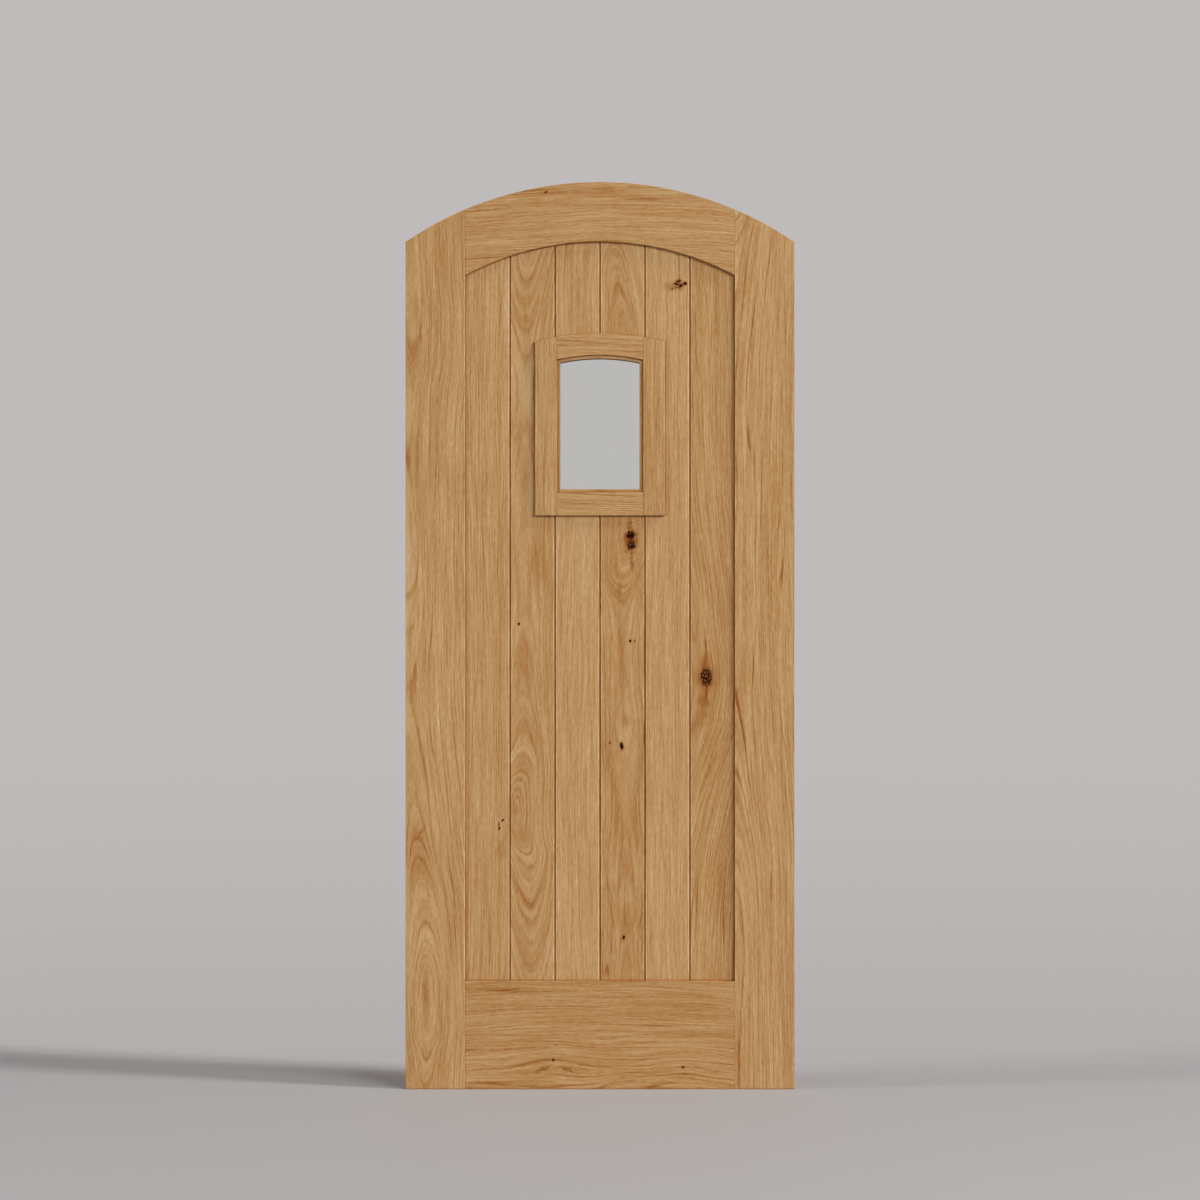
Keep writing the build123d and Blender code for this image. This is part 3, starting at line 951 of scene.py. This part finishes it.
@dataclass
class WindowFrame(Joinery):
    """The frame of the small window, with its glazing stops."""

    upright: ClassVar[tuple[Point, ...]] = ((1300, 68), (1560, 62), (1800, 68))
    level: ClassVar[tuple[Point, ...]] = ((-160, 60), (0, 56), (160, 62))

    window_left_stile: Board = Board(
        upright, ((1300, -250), (1800, -246)), tone=0.01, waves=0.5, seed=13.0
    )
    window_right_stile: Board = Board(
        upright, ((1300, 246), (1800, 252)), tone=-0.02, waves=0.5, seed=14.0
    )
    window_top_rail: Board = Board(
        level, ((-160, 1690), (160, 1684)), Grain.ACROSS, tone=-0.02, figure=0.7, seed=15.0
    )
    window_bottom_rail: Board = Board(
        level, ((-160, 1262), (160, 1256)), Grain.ACROSS, tone=0.06, figure=2.6, waves=0.6, seed=16.0
    )

    stops: ClassVar[dict[str, Board]] = {
        "stop_left": Board(upright, ((1300, -180), (1800, -176))),
        "stop_right": Board(upright, ((1300, 182), (1800, 178))),
        "stop_arch": Board(level, ((-160, 1640), (160, 1644)), Grain.ACROSS),
        "stop_bottom": Board(level, ((-160, 1350), (160, 1352)), Grain.ACROSS),
    }

    def boards(self) -> tuple[Board, ...]:
        """Gives the members of the window frame, and the stops on both faces."""
        boards = list(super().boards())
        for side, seed in (("front", 17.0), ("rear", 21.0)):
            for number, (stop, board) in enumerate(self.stops.items()):
                boards.append(replace(board, node=f"{side}_{stop}", seed=seed + number))
        return tuple(boards)

    def worn(self, node: str) -> tuple[float, ...]:
        """Gives the outer edge of a stile, proud of the planks."""
        left_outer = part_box("window_left_stile")[0][0] / MM
        right_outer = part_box("window_right_stile")[1][0] / MM
        return {"window_left_stile": (left_outer,), "window_right_stile": (right_outer,)}.get(node, ())


@dataclass(frozen=True)
class Speckled:
    """A finish of one colour family whose grains, pores or draw lines break it up.

    `size` is the grains' length along X, Y and Z in millimetres, `height` how far they stand out, and
    `polish` how much smoother the lighter grains are. `contrast` is the noise's span from dark to light.
    """

    name: str
    dark: str
    light: str
    size: Size
    roughness: float
    height: float
    polish: float = 0.1
    metallic: float = 0.0
    ior: float = 1.5
    detail: float = 2.0
    contrast: Point = (0.35, 0.65)

    def dress(self) -> bpy.types.Material:
        """Makes the material."""
        nodes = Nodes(bpy.data.materials.new(self.name))
        place = nodes.add("TexCoord")["Object"]
        inputs = {"Vector": place, "Scale": tuple(side * MM for side in self.size)}
        place = nodes.add("Mapping", inputs, vector_type="TEXTURE")[0]
        inputs = {"Vector": place, "Scale": 1.0, "Detail": self.detail, "Roughness": 0.6}
        grain = nodes.add("TexNoise", inputs)["Fac"]
        share = nodes.add("MapRange", (grain, *self.contrast))[0]
        inputs = {"Factor": share, "A": linear(self.dark), "B": linear(self.light)}
        colour = nodes.add("Mix", inputs, data_type="RGBA")["Result"]
        rough = nodes.add("MapRange", (share, 0.0, 1.0, self.roughness, self.roughness - self.polish))[0]
        inputs = {"Height": grain, "Strength": 0.5, "Distance": self.height * MM}
        surface = {"Base Color": colour, "Roughness": rough, "Normal": nodes.add("Bump", inputs)[0]}
        return nodes.close(surface | {"Metallic": self.metallic, "IOR": self.ior})


@dataclass(frozen=True)
class FloatGlass:
    """Clear float glass, drawn flat on molten tin: colourless face on, with clean mirror-like gloss.

    Its faces wander by a few thousandths of a millimetre over a hand's breadth, which makes reflections
    swim, and its tint by a shade. The wander is drawn stronger than real, to show at all.
    """

    tint: str = "FDFEFE"
    tint_deep: str = "FAFDFC"
    ior: float = 1.5
    wander_size: float = 90.0
    wander_height: float = 0.02
    wander_strength: float = 0.3

    def dress(self) -> bpy.types.Material:
        """Makes the material of the panes."""
        nodes = Nodes(bpy.data.materials.new("clear_float_glass"))
        place = nodes.add("TexCoord")["Object"]
        inputs = {"Vector": place, "Scale": 1 / (self.wander_size * MM), "Detail": 1.0}
        wander = nodes.add("TexNoise", inputs)["Fac"]
        inputs = {"Factor": wander, "A": linear(self.tint_deep), "B": linear(self.tint)}
        colour = nodes.add("Mix", inputs, data_type="RGBA")["Result"]
        inputs = {"Height": wander, "Strength": self.wander_strength, "Distance": self.wander_height * MM}
        surface = {"Base Color": colour, "Roughness": 0.0, "Normal": nodes.add("Bump", inputs)[0]}
        return nodes.close(surface | {"IOR": self.ior, "Transmission Weight": 1.0})


@dataclass
class GlazedUnit:
    """The sealed unit in the window, and the small hidden parts that hold it and the frame together."""

    glass: FloatGlass = FloatGlass()
    panes: tuple[str, ...] = ("outer_pane", "inner_pane")

    # Foamed silicone: matte charcoal with pores of half a millimetre.
    glazing_spacer: Speckled = Speckled("foamed_silicone", "1A1A1B", "343536", (0.5, 0.5, 0.5), 0.95, 0.1)
    # Sealant run in and tooled: black with a dull shine, in waves as long as the strokes of the knife.
    glazing_seal: Speckled = Speckled(
        "tooled_sealant", "0C0C0D", "1B1B1C", (22.0, 3.0, 22.0), 0.5, 0.15, polish=0.15
    )
    # Moulded rubber: near black, with the mould's fine matte grain.
    setting_blocks: Speckled = Speckled("moulded_rubber", "131313", "222222", (0.8, 0.8, 0.8), 0.8, 0.03)
    # Turned beech: pinkish straw with the short brown flecks of its rays.
    window_dowels: Speckled = Speckled(
        "turned_beech", "B98C62", "D8B48C", (6.0, 0.7, 0.7), 0.6, 0.04, detail=3.0
    )
    # Drawn steel: bright grey with fine lines along the pin from the die.
    stop_pins: Speckled = Speckled(
        "drawn_steel", "8C8D8E", "B9BABB", (0.15, 9.0, 0.15), 0.42, 0.01, metallic=1.0
    )

    def dress(self) -> None:
        """Puts glass on the panes, and on each hidden part the finish in the field of its name."""
        glass = self.glass.dress()
        for node in self.panes:
            put_on(node, glass)
        for node, finish in vars(self).items():
            if isinstance(finish, Speckled):
                put_on(node, finish.dress())


@dataclass
class Studio:
    """Pale floor, soft light and the camera. Lengths are in metres.

    Heights in the backdrop are the upward part of a direction, 0 at the horizon. The floor fades out over
    `floor_fade` behind the leaf, and all round it over `floor_rim`.
    """

    wall: str = "BFBBBA"
    # Painted shade: the seen backdrop darkens to this colour towards its foot.
    wall_foot: str = "B0ABA8"
    foot_heights: Point = (-0.23, -0.04)
    even_light: float = 0.15
    # The lit wall behind: its strength, the heights over which it ends, and how far back it is at its full.
    wall_light: float = 1.6
    wall_light_top: Point = (0.1, 0.36)
    wall_light_turn: float = 0.4
    floor: str = "B0ADAD"
    floor_width: float = 8.0
    floor_fade: Point = (-0.01, 0.24)
    floor_rim: Point = (2.0, 3.8)
    side_azimuth: float = 75.0
    side_elevation: float = 42.0
    side_spread: float = 7.0
    camera_height: float = 1.1506
    camera_distance: float = 6.0
    frame_height: float = 2.8218
    sensor: float = 36.0

    def camera(self) -> None:
        """Puts the camera square in front of the leaf, level, at the middle of the picture's height."""
        data = bpy.data.cameras.new("camera")
        data.sensor_width = self.sensor
        data.lens = self.sensor * self.camera_distance / self.frame_height
        data.clip_end = 100.0
        camera = bpy.data.objects.new("camera", data)
        camera.location = (0.0, cad_low[1] - self.camera_distance, self.camera_height)
        camera.rotation_euler = (math.pi / 2, 0.0, 0.0)
        bpy.context.scene.collection.objects.link(camera)
        bpy.context.scene.camera = camera

    def backdrop(self) -> None:
        """Sets the world: a backdrop where it is seen or mirrored, else even light and a lit wall behind."""
        world = bpy.data.worlds.new("studio")
        bpy.context.scene.world = world
        nodes = Nodes(world)
        _, backwards, height = nodes.add("SeparateXYZ", (nodes.add("TexCoord")["Generated"],))
        # The seen backdrop darkens towards its foot: painted shade.
        share = nodes.add("MapRange", (height, *self.foot_heights), interpolation_type="SMOOTHSTEP")[0]
        inputs = {"Factor": share, "A": linear(self.wall_foot), "B": linear(self.wall)}
        colour = nodes.add("Mix", inputs, data_type="RGBA")["Result"]
        seen = nodes.add("Background", {"Color": colour, "Strength": 1.0})[0]
        behind = nodes.add("MapRange", (backwards, 0.0, self.wall_light_turn))[0]
        inputs = (height, *self.wall_light_top, self.wall_light, 0.0)
        low = nodes.add("MapRange", inputs, interpolation_type="SMOOTHSTEP")[0]
        inputs = (behind, low, self.even_light)
        strength = nodes.add("Math", inputs, operation="MULTIPLY_ADD")[0]
        even = nodes.add("Background", {"Color": linear("FFFFFF"), "Strength": strength})[0]
        path = nodes.add("LightPath")
        total = path["Is Camera Ray"]
        for name in ("Is Glossy Ray", "Is Transmission Ray"):
            total = nodes.add("Math", (total, path[name]), operation="MAXIMUM")[0]
        surface = nodes.add("MixShader", (total, even, seen))[0]
        nodes.add("OutputWorld", {"Surface": surface})

    def painted_floor(self) -> bpy.types.Material:
        """Makes the floor's matte paint, full before the leaf and along its shadows, clear behind them."""
        nodes = Nodes(bpy.data.materials.new("painted_floor"))
        place = nodes.add("TexCoord")["Object"]
        sideways, backwards, _ = nodes.add("SeparateXYZ", (place,))
        beside = nodes.add("Math", (sideways,), operation="ABSOLUTE")[0]
        slant = -1 / math.tan(math.radians(self.side_azimuth))
        behind = nodes.add("Math", (beside, slant, backwards), operation="MULTIPLY_ADD")[0]
        share = nodes.add("MapRange", (behind, *self.floor_fade), interpolation_type="SMOOTHSTEP")[0]
        far = nodes.add("VectorMath", (place,), operation="LENGTH")["Value"]
        rim = nodes.add("MapRange", (far, *self.floor_rim), interpolation_type="SMOOTHSTEP")[0]
        share = nodes.add("Math", (share, rim), operation="MAXIMUM")[0]
        inputs = {"Base Color": linear(self.floor), "Roughness": 0.8, "Specular IOR Level": 0.1}
        paint = nodes.add("BsdfPrincipled", inputs)[0]
        clear = nodes.add("BsdfTransparent")[0]
        surface = nodes.add("MixShader", (share, paint, clear))[0]
        nodes.add("OutputMaterial", {"Surface": surface})
        return nodes.owner

    def ground(self) -> None:
        """Lays a wide floor that fades into the backdrop behind the leaf."""
        mesh = bpy.data.meshes.new("floor")
        half = self.floor_width / 2
        corners = [(-half, -half, 0.0), (half, -half, 0.0), (half, half, 0.0), (-half, half, 0.0)]
        mesh.from_pydata(corners, [], [(0, 1, 2, 3)])
        mesh.materials.append(self.painted_floor())
        floor = bpy.data.objects.new("floor", mesh)
        bpy.context.scene.collection.objects.link(floor)

    def lamp(
        self, name: str, azimuth: float, height: float, distance: float, size: Point, power: float
    ) -> None:
        """Hangs a soft box that looks at the middle of the leaf.

        Args:
            name: Its name.
            azimuth: Degrees to the right of straight in front.
            height: Metres over the floor.
            distance: Metres from the leaf, measured along the floor.
            size: Its width and height in metres.
            power: Its power in watts.
        """
        data = bpy.data.lights.new(name, "AREA")
        data.shape = "RECTANGLE"
        data.size, data.size_y = size
        data.energy = power
        lamp = bpy.data.objects.new(name, data)
        angle = math.radians(azimuth)
        lamp.location = (distance * math.sin(angle), -distance * math.cos(angle), height)
        aim = Vector((0.0, 0.0, self.camera_height)) - lamp.location
        lamp.rotation_euler = aim.to_track_quat("-Z", "Y").to_euler()
        bpy.context.scene.collection.objects.link(lamp)

    def side_light(self, name: str, azimuth: float, strength: float) -> None:
        """Shines a far, narrow light along the leaf, which draws the thin shadow band on the floor.

        Args:
            name: Its name.
            azimuth: Degrees to the right of straight in front.
            strength: Its strength in watts per square metre.
        """
        data = bpy.data.lights.new(name, "SUN")
        data.energy = strength
        data.angle = math.radians(self.side_spread)
        light = bpy.data.objects.new(name, data)
        light.rotation_euler = (math.radians(90.0 - self.side_elevation), 0.0, math.radians(azimuth))
        bpy.context.scene.collection.objects.link(light)

    def build(self) -> None:
        """Sets up the floor, the backdrop, the lamps and the camera."""
        self.ground()
        self.backdrop()
        self.lamp("key", azimuth=43.0, height=4.3, distance=8.0, size=(5.0, 1.6), power=510.0)
        self.lamp("fill", azimuth=-50.0, height=1.5, distance=6.0, size=(2.4, 1.6), power=90.0)
        self.side_light("side_right", self.side_azimuth, strength=1.4)
        self.side_light("side_left", azimuth=-82.0, strength=0.42)
        self.camera()
        log.info("set up the studio")


def main() -> None:
    """Builds and dresses the door, then lights it."""
    logging.basicConfig(level=logging.INFO, format="%(name)s: %(message)s")
    bpy.context.scene.view_settings.view_transform = "Standard"
    for assembly in (LeafFrame(), PlankPanel(), WindowFrame(), GlazedUnit()):
        assembly.dress()
    Studio().build()


if __name__ == "__main__":
    main()
